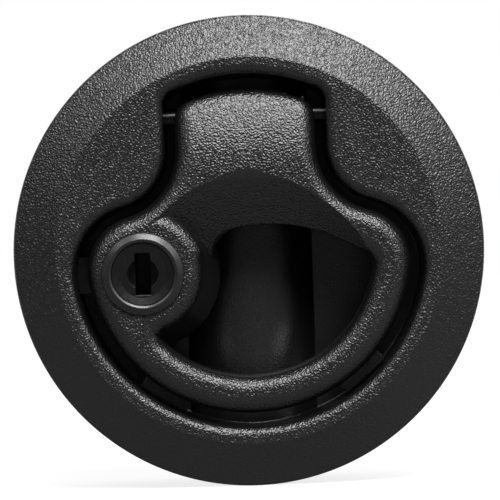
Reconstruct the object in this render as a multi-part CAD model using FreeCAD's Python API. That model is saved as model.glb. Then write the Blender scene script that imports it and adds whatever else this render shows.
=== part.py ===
import FreeCAD, Part
import math
import os

# Flush pull latch for a cabinet door, in millimetres.
# X points right, Y into the panel and Z up. Y = 0 is the front face of the panel.

# Bezel and cup
bezel_radius = 31.0
bezel_edge = 0.9
crest_land = 2.2
crest_height = 3.1
body_radius = 25.0
body_wall = 1.8
recess_depth = 13.0
floor_thickness = 2.0
bezel_fillet = 0.5
recess_fillet = 1.2
recess_half = 10.7
recess_corner = 2.0
recess_neck = 7.5
neck_drop = 9.7
recess_shoulder = 9.0
core_skin = 2.6
bulge_half = 8.5
bulge_rise = 3.8
panel_thickness = 16.0
join_overlap = 0.5
overcut = 1.0
tiny = 0.001

# Pull handle
side_gap = 1.45
rim_gap = 1.8
pull_front = 3.2
pull_depth = 4.0
pull_corner = 3.0
pull_fillet = 2.2
tongue_drop = 11.4
tongue_slope = 22.0
tongue_rise = 10.0
bar_width = 4.9
opening_drop = 18.0
opening_top_radius = 22.0
opening_top_x = 2.3
opening_right_fillet = 1.7
opening_left_fillet = 4.0
opening_low_fillet = 0.9
opening_edge_fillet = 2.0
scoop_drop = 11.4
scoop_blend = 3.4
scoop_slope = 34.0
scoop_radius = 25.0
bar_groove = 1.9
pull_skin = 2.65

# Pivot
pivot_inset = 3.65
pivot_depth = 1.5
pin_radius = 1.25
pin_end = 15.0
pin_boss = 3.2
pin_chamfer = 0.3
running_clearance = 0.05
seat_clearance = 0.02
pull_angle = 22.0

# Lever arm and pawl
lever_reach = 18.8
lever_half_width = 3.6
lever_half_height = 2.4
lever_tip_fillet = 0.8
lever_play = 0.25
slot_clearance = 0.4
pawl_travel = 7.4
channel_half = 8.0
channel_skin = 1.5
channel_depth = 7.5
mech_wall = 2.0
mech_top_inset = 3.0
mech_bottom = -14.0
pawl_clearance = 0.12
pawl_bottom = 2.0
pawl_reach = 9.3
pawl_tip_thickness = 1.8
pawl_bevel_height = 6.0
nose_half = 6.2
lip_height = 2.0
stop_clearance = 0.3
window_clearance = 0.6
pawl_spring_radius = 2.5
pawl_spring_wire = 0.6
pawl_spring_turns = 8
spring_pocket_depth = 8.0
spring_clearance = 0.35
spigot_height = 4.0
pawl_fillet = 1.0
core_x = 5.5
core_half = 1.2
core_depth = 3.0
core_margin = 1.2

# Return spring
return_spring_wire = 0.6
return_spring_gap = 0.15
return_spring_pitch = 0.69
return_spring_turns = 4
spring_slot_start = 4.4
spring_slot_end = 8.3
spring_leg = 2.3
spring_anchor = 1.2
spring_room = 0.65

# Cover
cover_thickness = 1.6
cover_corner = 1.2
cover_panel = 0.6
cover_ribs = 3
cover_rib = 1.0
cover_margin = 1.0
cover_ear_x = 11.8
cover_ear_z = 13.0
cover_ear_radius = 2.5
cover_screw_radius = 1.1
cover_screw_head = 2.0
cover_screw_head_height = 1.3
cover_screw_length = 8.0
screw_hole_spare = 0.5

# Mounting yoke
tower_x = 15.5
tower_radius = 3.2
tower_end = 20.6
tower_floor = 0.8
yoke_front = 22.4
yoke_plate = 2.8
yoke_half_width = 30.4
yoke_arm_half = 6.0
yoke_foot = 3.4
yoke_inner = 10.8
yoke_column = 17.2
yoke_cross_bottom = -20.4
yoke_cross_top = -14.5
yoke_corner = 2.0
yoke_rib = 1.8
foot_corner = 1.0
gusset_size = 3.5
yoke_rib_margin = 0.6
yoke_screw_radius = 2.0
yoke_screw_hole = 2.25
yoke_screw_head = 3.7
yoke_screw_head_height = 2.5
yoke_screw_length = 11.8
washer_radius = 4.4
washer_thickness = 0.8

# Pan head screws, as shares of the head's or the shank's size
head_dome = 0.6
cross_reach = 0.58
cross_width = 0.14
cross_floor = 0.35
screw_point = 0.35

# Lock
lock_inset = 7.4
lock_z = -2.65
boss_radius = 7.5
boss_root_radius = 10.1
boss_flank_radius = 8.5
boss_round = 2.0
boss_end = 7.0
barrel_radius = 4.9
barrel_end = 8.3
ring_radius = 5.45
ring_height = 0.9
ring_edge = 0.4
ring_round = 0.25
ring_lip = 0.3
ring_lip_depth = 0.17
ring_land = 0.15
ring_fillet = 0.12
plug_radius = 4.1
plug_clearance = 0.04
plug_recess = 0.6
plug_face = 3.1
plug_dish = 0.22
key_half_width = 1.03
key_half_height = 2.7
key_hole_radius = 2.03
key_hole_depth = 3.0
key_depth = 9.0
key_edge = 0.12
wafer_count = 4
wafer_first = 3.2
wafer_pitch = 1.4
wafer_thickness = 0.6
wafer_half_width = 1.8
wafer_half_height = 3.9
wafer_clearance = 0.05
wafer_window = 0.35
wafer_spring_radius = 0.4
wafer_spring_wire = 0.16
wafer_spring_gap = 0.25
wafer_spring_length = 3.0
wafer_spring_turns = 4
wafer_step = 0.3
clip_radius = 5.9
clip_thickness = 0.8
clip_groove = 0.5
clip_gap_angle = 70.0
cam_gap = 0.1
cam_thickness = 1.5
cam_reach = 8.2
cam_half_width = 3.4
tail_half = 1.9
cam_screw_radius = 1.2
cam_screw_head = 2.6
cam_screw_head_height = 1.3
cam_screw_depth = 4.0
cam_screw_spare = 0.3
lug_start = 5.5
lug_depth = 2.5
lug_half = 2.5
lug_reach = 2.6
lug_clearance = 0.6

# Rest pads and gasket
pad_angles = (-122.0, -49.0)
pad_width = 6.8
pad_length = 3.4
pad_margin = 0.4
pad_thickness = 1.2
pad_gap = 0.1
pad_corner = 0.5
gasket_margin = 1.6
gasket_width = 2.4
gasket_depth = 0.6

# Sizes that follow from those above
recess_rim = body_radius - body_wall
crest_radius = recess_rim + crest_land
cup_back = recess_depth + floor_thickness
pull_rim = recess_rim - rim_gap
neck_height = recess_rim - neck_drop
pivot_height = pull_rim - pivot_inset
tongue_flat_height = pull_rim - tongue_drop
opening_top = pull_rim - opening_drop
scoop_top = pull_rim - scoop_drop
lock_x = lock_inset - pull_rim
lug_inner = recess_rim - lug_reach
mech_top = body_radius - mech_top_inset
pawl_tip = mech_top + pawl_reach
channel_front = cup_back + channel_skin
channel_back = channel_front + channel_depth
mech_half = channel_half + mech_wall
channel_bottom = mech_bottom + mech_wall
yoke_back = yoke_front + yoke_plate
bar_inner = pull_rim - bar_width
spring_mean = pin_radius + return_spring_gap + return_spring_wire / 2
spring_first = spring_slot_start + return_spring_wire
spring_outer = spring_mean + return_spring_wire / 2
cam_front = barrel_end + cam_gap
cam_back = cam_front + cam_thickness
pad_outer = recess_rim - pad_margin
pad_inner = pad_outer - pad_length
gasket_outer = bezel_radius - gasket_margin
gasket_inner = gasket_outer - gasket_width


def vec(x, y, z):
    return FreeCAD.Vector(x, y, z)


def box(x0, x1, y0, y1, z0, z1):
    return Part.makeBox(x1 - x0, y1 - y0, z1 - z0, vec(x0, y0, z0))


def rod(radius, x, z, y0, y1):
    """A round bar along Y."""
    return Part.makeCylinder(radius, y1 - y0, vec(x, y0, z), vec(0, 1, 0))


def cross_rod(radius, x0, x1, y, z):
    """A round bar along X."""
    return Part.makeCylinder(radius, x1 - x0, vec(x0, y, z), vec(1, 0, 0))


def polar(cx, cz, radius, angle, y):
    a = math.radians(angle)
    return vec(cx + radius * math.cos(a), y, cz + radius * math.sin(a))


def arc(cx, cz, radius, start, end, y):
    """An arc seen from the front, from one angle to another in degrees."""
    ends = [polar(cx, cz, radius, a, y) for a in (start, (start + end) / 2, end)]
    return Part.Arc(*ends).toShape()


def line(a, b):
    return Part.LineSegment(a, b).toShape()


def direction(dx, dz):
    return math.degrees(math.atan2(dz, dx))


def face_of(edges):
    return Part.Face(Part.Wire(Part.__sortEdges__(edges)))


def prism(edges, depth):
    return face_of(edges).extrude(vec(0, depth, 0))


def revolve(points, x=0.0, z=0.0):
    """Turns a (radius, depth) outline about a line along Y."""
    outline = [vec(x + r, y, z) for r, y in points]
    face = Part.Face(Part.makePolygon(outline + outline[:1]))
    return face.revolve(vec(x, 0, z), vec(0, 1, 0), 360)


def crossing(ax, az, ra, bx, bz, rb, side):
    """One of the two points where two circles cross."""
    dx, dz = bx - ax, bz - az
    d = math.hypot(dx, dz)
    along = (ra * ra - rb * rb + d * d) / (2 * d)
    off = side * math.sqrt(ra * ra - along * along)
    return ax + (along * dx + off * dz) / d, az + (along * dz - off * dx) / d


def mushroom(rim, half, corner, neck, shoulder, y0, y1):
    """The outline shared by the recess and the pull: a disc with a tongue on top."""
    corner_x = half - corner
    corner_z = math.sqrt((rim - corner) ** 2 - corner_x ** 2)
    neck_x = half + neck
    sx, sz = crossing(0, 0, rim - shoulder, neck_x, neck_height, shoulder + neck, 1)
    top = direction(corner_x, corner_z)
    low = direction(sx, sz)
    inward = direction(sx - neck_x, sz - neck_height)
    right = [
        arc(0, 0, rim, -90, low, y0),
        arc(sx, sz, shoulder, low, inward + 180, y0),
        arc(neck_x, neck_height, neck, inward, -180, y0),
        line(vec(half, y0, neck_height), vec(half, y0, corner_z)),
        arc(corner_x, corner_z, corner, 0, top, y0),
        arc(0, 0, rim, top, 90, y0),
    ]
    left = [edge.mirror(vec(0, 0, 0), vec(1, 0, 0)) for edge in right]
    return prism(right + left, y1 - y0)


def recess_prism(y0, y1, grow=0.0):
    """The recess outline, or one that is larger all round."""
    return mushroom(recess_rim + grow, recess_half + grow, recess_corner + grow,
                    recess_neck - grow, recess_shoulder + grow, y0, y1)


def pull_prism(y0, y1, inset=0.0):
    """The pull's outline, which follows the recess with a gap."""
    return mushroom(pull_rim - inset, recess_half - side_gap - inset, pull_corner - inset,
                    recess_neck + side_gap + inset, recess_shoulder - rim_gap - inset, y0, y1)


def edges_at_depth(shape, y):
    """The edges of a shape that lie in one plane facing the front."""
    flat = []
    for edge in shape.Edges:
        b = edge.BoundBox
        if abs(b.YMin - y) < tiny and abs(b.YMax - y) < tiny:
            flat.append(edge)
    return flat


def coil(radius, wire, pitch, turns, start, axis):
    """A helical spring with round wire along an axis."""
    helix = Part.makeHelix(pitch, pitch * turns, radius)
    section = Part.Wire(Part.makeCircle(wire / 2, vec(radius, 0, 0), vec(0, 1, 0)))
    spring = Part.Wire(helix.Edges).makePipeShell([section], True, True)
    turn = FreeCAD.Rotation(vec(0, 0, 1), axis)
    spring.Placement = FreeCAD.Placement(start, turn)
    return spring


def keep_solid(shape):
    """The single solid of a result."""
    clean = shape.removeSplitter()
    return clean.Solids[0] if len(clean.Solids) == 1 else clean


def cup_shell():
    """Bezel, round body and recess, with the shoulders cored out from behind."""
    shell = revolve([
        (0, cup_back),
        (body_radius, cup_back),
        (body_radius, 0),
        (bezel_radius, 0),
        (bezel_radius, -bezel_edge),
        (crest_radius, -crest_height),
        (0, -crest_height),
    ])
    rim_edges = [e for e in shell.Edges if abs(e.BoundBox.YMin + bezel_edge) < tiny
                 and abs(e.BoundBox.YMax + bezel_edge) < tiny]
    shell = shell.makeFillet(bezel_fillet, rim_edges)
    shell = shell.cut(recess_prism(-crest_height - overcut, recess_depth))
    mouth = [e for e in edges_at_depth(shell, -crest_height)
             if e.BoundBox.XMax < recess_rim + 0.01 and e.BoundBox.ZMax < recess_rim + 0.01]
    shell = shell.makeFillet(recess_fillet, mouth)
    core_start = core_skin - crest_height
    core = rod(recess_rim, 0, 0, core_start, cup_back)
    core = core.cut(recess_prism(core_start, cup_back, body_wall))
    core = core.cut(cross_rod(pin_boss, -body_radius, body_radius, pivot_depth, pivot_height))
    return shell.cut(core)


def floor_bulge():
    """The barrel-shaped bulge that stiffens the recess floor in front of the pawl."""
    radius = (bulge_half ** 2 + bulge_rise ** 2) / (2 * bulge_rise)
    centre = recess_depth - bulge_rise + radius
    barrel = Part.makeCylinder(radius, 2 * recess_rim, vec(0, centre, -recess_rim))
    return barrel.common(recess_prism(recess_depth - bulge_rise, recess_depth))


def mechanism_housing():
    """The channel on the cup's back in which the pawl slides, with ears for the cover."""
    block = box(-mech_half, mech_half, cup_back, channel_back, mech_bottom, mech_top)
    for side in (-1, 1):
        ear = rod(cover_ear_radius, side * cover_ear_x, cover_ear_z, recess_depth, channel_back)
        block = block.fuse(ear)
    return block


def channel_cut():
    """The space inside the mechanism housing, narrower at its top lip."""
    inner = box(-channel_half, channel_half, channel_front, channel_back, channel_bottom,
                mech_top - lip_height)
    lip = box(-nose_half - pawl_clearance, nose_half + pawl_clearance, channel_front, channel_back,
              mech_top - lip_height - overcut, mech_top + overcut)
    return inner.fuse(lip)


def lever_slot():
    """The slot through the recess floor that the lever arm swings in."""
    half = lever_half_width + slot_clearance
    swing = math.radians(pull_angle)
    reach = channel_front - pivot_depth
    low = pivot_height - reach * math.tan(swing) - lever_half_height / math.cos(swing)
    top = pivot_height + lever_half_height + slot_clearance
    return box(-half, half, recess_depth - bulge_rise - overcut, channel_front + seat_clearance,
               low - slot_clearance, top)


def screw_towers():
    towers = []
    for side in (-1, 1):
        towers.append(rod(tower_radius, side * tower_x, 0, recess_depth + join_overlap, tower_end))
    return towers


def rest_ledge(angle):
    """A post on the recess wall that carries one rest pad."""
    top = pull_depth + pad_gap + pad_thickness
    post = box(pad_inner, recess_rim + join_overlap, top, recess_depth + join_overlap,
               -pad_width / 2, pad_width / 2)
    post.rotate(vec(0, 0, 0), vec(0, -1, 0), angle)
    return post


def cup_housing():
    cup = cup_shell()
    additions = [floor_bulge(), mechanism_housing()] + screw_towers()
    additions += [rest_ledge(angle) for angle in pad_angles]
    lug = box(-recess_rim - join_overlap, -lug_inner, lug_start, lug_start + lug_depth,
              lock_z - lug_half, lock_z + lug_half)
    spigot = Part.makeCylinder(pawl_spring_radius - pawl_spring_wire / 2 - spring_clearance,
                               spigot_height, vec(0, channel_mid(), channel_bottom))
    cup = cup.fuse(additions + [lug])
    cup = cup.cut(channel_cut()).cut(lever_slot()).fuse(spigot)
    holes = [cross_rod(pin_radius + seat_clearance, -pin_end, body_radius, pivot_depth,
                       pivot_height)]
    holes.append(rod(return_spring_wire / 2 + seat_clearance, spring_first,
                     pivot_height - spring_mean, spring_floor() - overcut,
                     spring_floor() + spring_anchor + seat_clearance))
    for side in (-1, 1):
        holes.append(rod(yoke_screw_radius + seat_clearance, side * tower_x, 0,
                         recess_depth + tower_floor, tower_end + overcut))
        start = channel_back - cover_screw_length + cover_thickness - screw_hole_spare
        holes.append(rod(cover_screw_radius + seat_clearance, side * cover_ear_x, cover_ear_z,
                         start, channel_back + overcut))
    groove = rod(gasket_outer, 0, 0, -gasket_depth, overcut)
    groove = groove.cut(rod(gasket_inner, 0, 0, -gasket_depth, overcut))
    return keep_solid(cup.cut(holes + [groove]))


def channel_mid():
    return (channel_front + channel_back) / 2


def tongue_profile():
    """Side view of the pull: flat below, curving back towards the top of the tongue."""
    slope = math.radians(tongue_slope)
    radius = tongue_rise / math.sin(slope)
    top = recess_rim
    sweep = math.asin((top - tongue_flat_height) / radius)
    middle = sweep / 2

    def on_curve(a):
        depth = radius * (1 - math.cos(a)) - pull_front
        return vec(0, depth, tongue_flat_height + radius * math.sin(a))

    low = -recess_rim
    back = boss_end + overcut
    curve = Part.Arc(on_curve(0), on_curve(middle), on_curve(sweep)).toShape()
    corners = [on_curve(sweep), vec(0, back, top), vec(0, back, low), vec(0, -pull_front, low),
               on_curve(0)]
    sides = [line(a, b) for a, b in zip(corners, corners[1:])]
    face = face_of([curve] + sides)
    face.translate(vec(-recess_rim, 0, 0))
    return face.extrude(vec(2 * recess_rim, 0, 0))


def opening_prism(y0, y1):
    """The finger opening: under a shallow arch, beside the lock boss, above the bar."""
    arch_z = opening_top - opening_top_radius
    space = rod(opening_top_radius, opening_top_x, arch_z, y0, y1)
    space = space.fuse(box(-recess_rim, opening_top_x, y0, y1, -recess_rim, lock_z))
    space = space.common(rod(bar_inner, 0, 0, y0, y1)).removeSplitter()
    space = space.cut(boss_cone(y0, y1))
    space = space.cut(box(-recess_rim, lock_x, y0, y1, -recess_rim, recess_rim))
    space = max(space.Solids, key=lambda s: s.Volume)
    corners = [e for e in space.Edges if e.BoundBox.YLength > (y1 - y0) / 2
               and len(space.ancestorsOfType(e, Part.Face)) == 2]
    corners.sort(key=lambda e: e.BoundBox.Center.z)
    low, middle, high = corners[0], corners[1], corners[2]
    right, left = (middle, high) if middle.BoundBox.XMin > high.BoundBox.XMin else (high, middle)
    space = space.makeFillet(opening_low_fillet, [low])
    space = space.makeFillet(opening_right_fillet, [near_edge(space, right)])
    return space.makeFillet(opening_left_fillet, [near_edge(space, left)])


def upright_edges(shape):
    """The straight edges of a shape that run from front to back."""
    return [e for e in shape.Edges
            if e.BoundBox.XLength < tiny and e.BoundBox.ZLength < tiny and e.BoundBox.YLength > tiny]


def near_edge(shape, edge):
    """The edge of a shape that lies nearest to the middle of another edge."""
    middle = edge.BoundBox.Center
    return min(shape.Edges, key=lambda e: e.BoundBox.Center.distanceToPoint(middle))


def scoop_cutter():
    """A wide trough that bends back from the face to the opening, for the fingers."""
    slope = math.radians(scoop_slope)
    along = vec(0, math.sin(slope), -math.cos(slope))
    outward = vec(0, -math.cos(slope), -math.sin(slope))
    bend_z = scoop_top + scoop_blend * math.tan(slope / 2)
    pivot = vec(0, scoop_blend - pull_front, bend_z)
    section = face_of([Part.makeCircle(scoop_radius, vec(0, -pull_front - scoop_radius, bend_z),
                                       vec(0, 0, 1))])
    bend = section.revolve(pivot, vec(1, 0, 0), scoop_slope)
    end = pivot + outward * (scoop_blend + scoop_radius)
    trough = bend.fuse(Part.makeCylinder(scoop_radius, 2 * bar_inner, end, along))
    front = -pull_front - overcut
    reach = rod(bar_inner, 0, 0, front, boss_end)
    reach = reach.cut(boss_shoulder(front, boss_end))
    reach = reach.cut(box(-recess_rim, lock_x, front, boss_end, -recess_rim, recess_rim))
    return trough.common(reach)


def lever_arm():
    """The arm behind the tongue that pushes the pawl down."""
    tip = pivot_depth + lever_reach
    arm = box(-lever_half_width, lever_half_width, 0, tip, pivot_height - lever_half_height,
              pivot_height + lever_half_height)
    tip_edges = [e for e in edges_at_depth(arm, tip) if e.BoundBox.XLength > tiny]
    return arm.makeFillet(lever_tip_fillet, tip_edges)


def boss_cone(y0, y1):
    """The lock boss, which widens from its face to its root so that it leaves the mould."""
    taper = (boss_root_radius - boss_radius) / (boss_end + pull_front)
    r0 = boss_radius + (y0 + pull_front) * taper
    r1 = boss_radius + (y1 + pull_front) * taper
    return Part.makeCone(r0, r1, y1 - y0, vec(lock_x, y0, lock_z), vec(0, 1, 0))


def boss_shoulder(y0, y1):
    """The boss as the scoop leaves it: a straight side with a round shoulder at the face."""
    side = rod(boss_flank_radius, lock_x, lock_z, -pull_front, y1)
    side = side.makeFillet(boss_round, edges_at_depth(side, -pull_front))
    return side.fuse(rod(boss_flank_radius - boss_round, lock_x, lock_z, y0, -pull_front))


def boss_wall():
    """The boss behind the panel's face, kept off the lug in the recess."""
    wall = boss_cone(0, boss_end).common(pull_prism(0, boss_end))
    room = box(-recess_rim, -lug_inner + lug_clearance, pull_depth, boss_end + overcut,
               -recess_rim, recess_rim)
    return wall.cut(room)


def spring_slots():
    """Two slots beside the lever arm; the return spring sits in the right one."""
    slots = []
    for x in (spring_slot_start, -spring_slot_end):
        slots.append(box(x, x + spring_slot_end - spring_slot_start, pull_skin - pull_front,
                         pull_depth + overcut, pivot_height - spring_outer - spring_room,
                         pivot_height + spring_outer + spring_room))
    return slots


def bar_groove_cut():
    """The groove that lightens the bar from behind."""
    middle = (pull_rim + bar_inner) / 2
    start = pull_skin - pull_front
    ring = rod(middle + bar_groove / 2, 0, 0, start, pull_depth + overcut)
    ring = ring.cut(rod(middle - bar_groove / 2, 0, 0, start, pull_depth + overcut))
    return ring.common(box(-recess_rim, recess_rim, -recess_rim, recess_rim, -recess_rim,
                           lock_z - boss_root_radius))


def pull_handle():
    body = pull_prism(-pull_front, pull_depth).common(tongue_profile())
    upright = upright_edges(body)
    front = [e for e in body.Edges if e.BoundBox.YMax < pull_depth - tiny
             and not any(e.isSame(u) for u in upright)]
    body = body.makeFillet(pull_fillet, front)
    opening = opening_prism(-pull_front - overcut, boss_end + overcut)
    body = body.cut(opening)
    rim = edges_at_depth(body, -pull_front)
    inner = [e for e in rim if e.BoundBox.ZMax < opening_top + tiny
             and max(v.Point.Length for v in e.Vertexes) < pull_rim - pull_fillet]
    body = body.makeFillet(opening_edge_fillet, inner)
    body = body.cut(scoop_cutter())
    body = body.fuse([boss_wall(), lever_arm()])
    bores = [cross_rod(pin_radius + running_clearance, -recess_half, recess_half, pivot_depth,
                       pivot_height),
             rod(barrel_radius + seat_clearance, lock_x, lock_z, -pull_front - overcut,
                 boss_end + overcut)]
    return keep_solid(body.cut(bores + spring_slots() + [bar_groove_cut()]))


def pivot_pin():
    pin = cross_rod(pin_radius, -pin_end, pin_end, pivot_depth, pivot_height)
    return pin.makeChamfer(pin_chamfer, [e for e in pin.Edges if e.BoundBox.XLength < tiny])


def handle_return_spring():
    """A torsion spring on the pin. Its back leg is held in the recess floor, and its front leg
    pushes the tongue out above the pin, which swings the bar shut."""
    wire = return_spring_wire / 2
    last = spring_first + return_spring_pitch * return_spring_turns
    body = coil(spring_mean, return_spring_wire, return_spring_pitch, return_spring_turns,
                vec(spring_first, pivot_depth, pivot_height), vec(1, 0, 0))
    back_leg = rod(wire, spring_first, pivot_height - spring_mean, pivot_depth,
                   spring_floor() + spring_anchor)
    front_leg = Part.makeCylinder(wire, spring_leg, vec(last, pivot_depth - spring_mean,
                                                        pivot_height))
    return keep_solid(body.fuse([back_leg, front_leg]))


def spring_floor():
    """How deep the recess floor lies at the return spring's back leg."""
    return recess_depth - bulge_rise_at(spring_first)


def bulge_rise_at(x):
    """How far the floor bulge stands up at a distance from its middle."""
    radius = (bulge_half ** 2 + bulge_rise ** 2) / (2 * bulge_rise)
    return math.sqrt(radius ** 2 - x ** 2) - (radius - bulge_rise)


def pawl():
    """The slam bolt: a guided block with a window for the lever arm and a bevelled nose."""
    front = channel_front + pawl_clearance
    back = channel_back - pawl_clearance
    half = channel_half - pawl_clearance
    shoulder = mech_top - lip_height - stop_clearance
    block = box(-half, half, front, back, pawl_bottom, shoulder)
    nose = box(-nose_half, nose_half, front, back, shoulder - overcut, pawl_tip)
    upright = [e for e in nose.Edges if e.BoundBox.ZLength > tiny]
    block = block.fuse(nose.makeFillet(pawl_fillet, upright))
    bevel = Part.Face(Part.makePolygon([
        vec(-half, back + overcut, pawl_tip - pawl_bevel_height),
        vec(-half, back, pawl_tip - pawl_bevel_height),
        vec(-half, front + pawl_tip_thickness, pawl_tip),
        vec(-half, front + pawl_tip_thickness, pawl_tip + overcut),
        vec(-half, back + overcut, pawl_tip + overcut),
        vec(-half, back + overcut, pawl_tip - pawl_bevel_height),
    ])).extrude(vec(2 * half, 0, 0))
    arm_half = lever_half_width + window_clearance
    low = pivot_height - lever_half_height - lever_play
    high = pivot_height + lever_half_height + pawl_travel + lever_play
    window = box(-arm_half, arm_half, front - overcut,
                 pivot_depth + lever_reach + window_clearance, low, high)
    pocket = Part.makeCylinder(pawl_spring_radius + spring_clearance, spring_pocket_depth,
                               vec(0, channel_mid(), pawl_bottom))
    block = block.cut([bevel, window, pocket])
    grooves = []
    for side in (-1, 1):
        x = side * core_x
        grooves.append(box(x - core_half, x + core_half, back - core_depth, back + overcut,
                           pawl_bottom + core_margin, low - core_margin))
    return keep_solid(block.cut(grooves))


def pawl_spring():
    start = channel_bottom + pawl_spring_wire / 2
    end = pawl_bottom + spring_pocket_depth - pawl_spring_wire / 2
    pitch = (end - start) / pawl_spring_turns
    return coil(pawl_spring_radius - pawl_spring_wire / 2, pawl_spring_wire, pitch,
                pawl_spring_turns, vec(0, channel_mid(), start), vec(0, 0, 1))


def pawl_cover():
    """The plate that closes the channel, with two screw ears and a stiffening panel."""
    back = channel_back + cover_thickness
    plate = box(-mech_half, mech_half, channel_back, back, mech_bottom, mech_top)
    plate = plate.makeFillet(cover_corner, upright_edges(plate))
    for side in (-1, 1):
        ear = rod(cover_ear_radius, side * cover_ear_x, cover_ear_z, channel_back, back)
        plate = plate.fuse(ear)
    half = channel_half - cover_margin
    low = channel_bottom + cover_margin
    high = mech_top - lip_height - cover_margin
    panel = box(-half, half, back - cover_panel, back + overcut, low, high)
    ribs = []
    for i in range(cover_ribs):
        z = low + (i + 1) * (high - low) / (cover_ribs + 1)
        ribs.append(box(-half, half, back - cover_panel, back, z - cover_rib / 2, z + cover_rib / 2))
    plate = plate.cut(panel.cut(ribs))
    holes = [rod(cover_screw_radius + seat_clearance, side * cover_ear_x, cover_ear_z,
                 channel_back - overcut, back + overcut) for side in (-1, 1)]
    return keep_solid(plate.cut(holes))


def pan_screw(radius, head_radius, head_height, length, x, z, seat):
    """A pan head screw driven towards the front; its head sits on a face at a depth."""
    top = seat + head_height
    shank = rod(radius, x, z, seat - length, seat + join_overlap)
    head = rod(head_radius, x, z, seat, top)
    head = head.makeFillet(head_height * head_dome, edges_at_depth(head, top))
    shank = shank.makeChamfer(radius * screw_point, edges_at_depth(shank, seat - length))
    arm = head_radius * cross_reach
    slot = head_radius * cross_width
    deep = seat + head_height * cross_floor
    cross = box(x - arm, x + arm, deep, top, z - slot, z + slot)
    cross = cross.fuse(box(x - slot, x + slot, deep, top, z - arm, z + arm))
    return keep_solid(shank.fuse(head).cut(cross))


def cover_screws():
    seat = channel_back + cover_thickness
    return Part.makeCompound([
        pan_screw(cover_screw_radius, cover_screw_head, cover_screw_head_height,
                  cover_screw_length, side * cover_ear_x, cover_ear_z, seat) for side in (-1, 1)])


def mounting_yoke():
    """A U-shaped clamp round the mechanism; its two feet bear on the back of the panel."""
    column = box(yoke_inner, yoke_column, yoke_front, yoke_back, yoke_cross_bottom, yoke_arm_half)
    arm = box(yoke_inner, yoke_half_width, yoke_front, yoke_back, -yoke_arm_half, yoke_arm_half)
    cross = box(-yoke_column, yoke_column, yoke_front, yoke_back, yoke_cross_bottom, yoke_cross_top)
    half = column.fuse(arm)
    plate = half.fuse([half.mirror(vec(0, 0, 0), vec(1, 0, 0)), cross]).removeSplitter()
    plate = plate.makeFillet(yoke_corner, upright_edges(plate))
    rib_back = yoke_back + yoke_rib
    rib_z = yoke_arm_half - yoke_rib / 2 - yoke_rib_margin
    rib_start = tower_x + washer_radius + yoke_rib_margin
    cross_z = (yoke_cross_bottom + yoke_cross_top) / 2
    half = yoke_column - yoke_corner
    extras = [box(-half, half, yoke_back, rib_back, cross_z - yoke_rib / 2, cross_z + yoke_rib / 2)]
    for side in (-1, 1):
        outer, inner = side * yoke_half_width, side * (yoke_half_width - yoke_foot)
        x0, x1 = min(outer, inner), max(outer, inner)
        leg = box(x0, x1, panel_thickness, yoke_back, -yoke_arm_half, yoke_arm_half)
        extras.append(leg.makeFillet(foot_corner, upright_edges(leg)))
        first, last = side * rib_start, side * (yoke_half_width - yoke_corner)
        for z in (-rib_z, rib_z):
            extras.append(box(min(first, last), max(first, last), yoke_back, rib_back,
                              z - yoke_rib / 2, z + yoke_rib / 2))
        extras.append(gusset(side))
    yoke = plate.fuse(extras)
    holes = [rod(yoke_screw_hole, side * tower_x, 0, yoke_front - overcut, yoke_back + overcut)
             for side in (-1, 1)]
    return keep_solid(yoke.cut(holes))


def gusset(side):
    """The web between a leg and its arm."""
    inner = yoke_half_width - yoke_foot
    web = Part.Face(Part.makePolygon([
        vec(side * (inner + join_overlap), yoke_front + join_overlap, 0),
        vec(side * (inner - gusset_size), yoke_front + join_overlap, 0),
        vec(side * (inner - gusset_size), yoke_front, 0),
        vec(side * inner, yoke_front - gusset_size, 0),
        vec(side * (inner + join_overlap), yoke_front - gusset_size, 0),
        vec(side * (inner + join_overlap), yoke_front + join_overlap, 0),
    ])).extrude(vec(0, 0, yoke_rib))
    web.translate(vec(0, 0, -yoke_rib / 2))
    return web


def yoke_screws():
    seat = yoke_back + washer_thickness
    return Part.makeCompound([
        pan_screw(yoke_screw_radius, yoke_screw_head, yoke_screw_head_height,
                  yoke_screw_length, side * tower_x, 0, seat) for side in (-1, 1)])


def yoke_washers():
    rings = []
    for side in (-1, 1):
        ring = rod(washer_radius, side * tower_x, 0, yoke_back, yoke_back + washer_thickness)
        rings.append(ring.cut(rod(yoke_screw_hole, side * tower_x, 0, yoke_back - overcut,
                                  yoke_back + washer_thickness + overcut)))
    return Part.makeCompound(rings)


def lock_barrel():
    """The tube that carries the plug, with a bevelled ring against the pull's face."""
    crest = -pull_front - ring_height
    inner = plug_radius + plug_clearance
    barrel = revolve([
        (inner, barrel_end),
        (barrel_radius, barrel_end),
        (barrel_radius, boss_end + clip_thickness + seat_clearance),
        (barrel_radius - clip_groove, boss_end + clip_thickness + seat_clearance),
        (barrel_radius - clip_groove, boss_end),
        (barrel_radius, boss_end),
        (barrel_radius, -pull_front),
        (ring_radius, -pull_front),
        (ring_radius, -pull_front - ring_edge),
        (inner + ring_lip + ring_land, crest),
        (inner + ring_lip, crest),
        (inner, crest + ring_lip_depth),
    ], lock_x, lock_z)
    barrel = barrel.makeFillet(ring_fillet, edges_at_depth(barrel, crest))
    return barrel.makeFillet(ring_round, edges_at_depth(barrel, -pull_front - ring_edge))


def plug_front():
    return -pull_front - ring_height + plug_recess


def wafer_depth(i):
    """Where the i-th wafer starts, counted from the plug's face."""
    return plug_front() + wafer_first + i * wafer_pitch


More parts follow.
